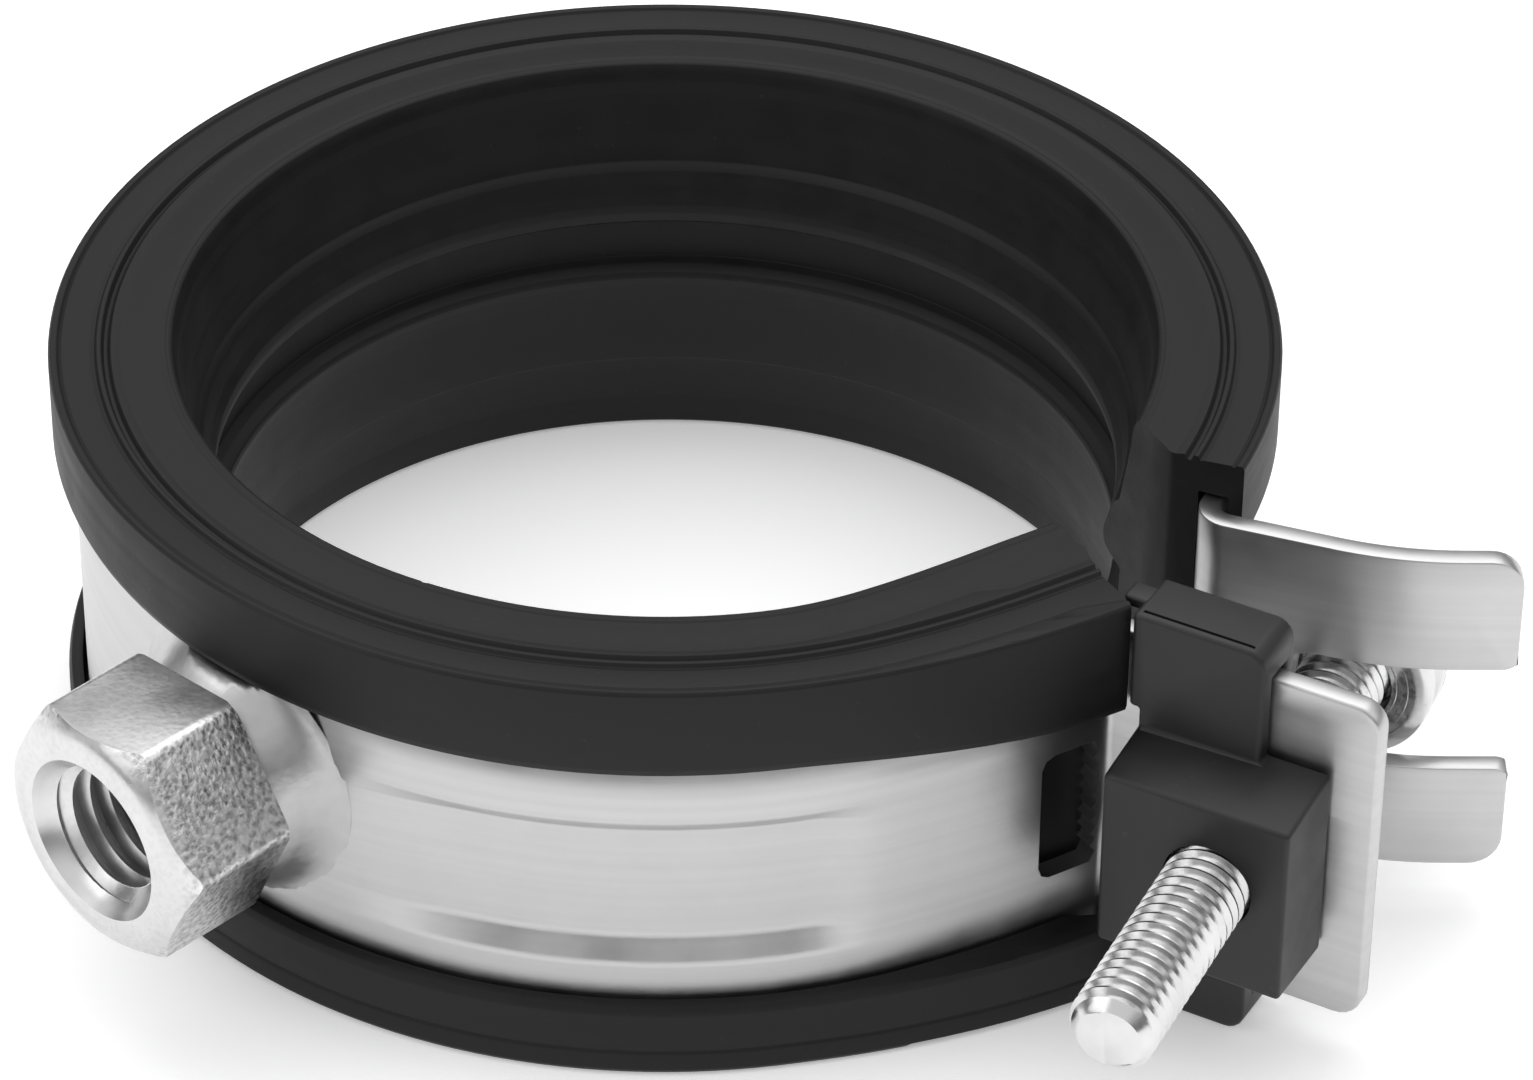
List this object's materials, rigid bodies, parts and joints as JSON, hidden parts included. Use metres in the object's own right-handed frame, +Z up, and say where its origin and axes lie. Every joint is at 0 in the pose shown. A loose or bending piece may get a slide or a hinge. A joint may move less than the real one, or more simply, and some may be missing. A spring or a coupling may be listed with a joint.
{
  "type": "rubber-lined pipe clamp",
  "caption": "Steel pipe clamp with a thick rubber lining, a welded side nut and a quick-lock screw that sits in a forked flange.",
  "frame": {"origin": "on the pipe's axis, in the plane of the rubber lining's lower rim, on which the clamp stands", "axes": "+Z up along the pipe's axis, +X out through the welded nut, +Y roughly towards the screw closure"},
  "size_m": [0.0939, 0.1035, 0.0312],
  "materials": {
    "band_steel": "bright zinc-plated strip, satin",
    "liner_rubber": "matte black extruded rubber",
    "nut_steel": "zinc-plated, slightly grainy faces",
    "retainer_plastic": "black moulded plastic, satin",
    "screw_steel": "bright zinc-plated"
  },
  "bodies": {
    "front_half": {"band_fixed": "band_steel", "liner_fixed": "liner_rubber", "weld_nut": "nut_steel", "nut_weld": "nut_steel", "screw_retainer": "retainer_plastic", "square_nut": "nut_steel"},
    "back_half": {"band_swing": "band_steel", "liner_swing": "liner_rubber"},
    "washer": {"head_washer": "screw_steel"},
    "screw": {"closing_screw": "screw_steel"}
  },
  "joints": [
    {"name": "ring_hinge", "type": "hinge", "parent": "front_half", "child": "back_half", "pos_m": [0.00597, -0.039, 0.0156], "axis": [0, 0, 1], "range_deg": [-5, 7.5]},
    {"name": "screw_feed", "type": "slide", "parent": "front_half", "child": "washer", "axis": [-0.9465, -0.3228, 0], "range_m": [-0.00808, 0.0121]},
    {"name": "screw_turn", "type": "hinge", "parent": "washer", "child": "screw", "pos_m": [0.02106, 0.0589, 0.0156], "axis": [-0.9465, -0.3228, 0], "range_deg": [-2900, 4330]}
  ],
  "couplings": [
    {"joint": "screw_feed", "follows": "ring_hinge", "m_per_rad": 0.091673},
    {"joint": "screw_turn", "follows": "ring_hinge", "ratio": 576}
  ]
}
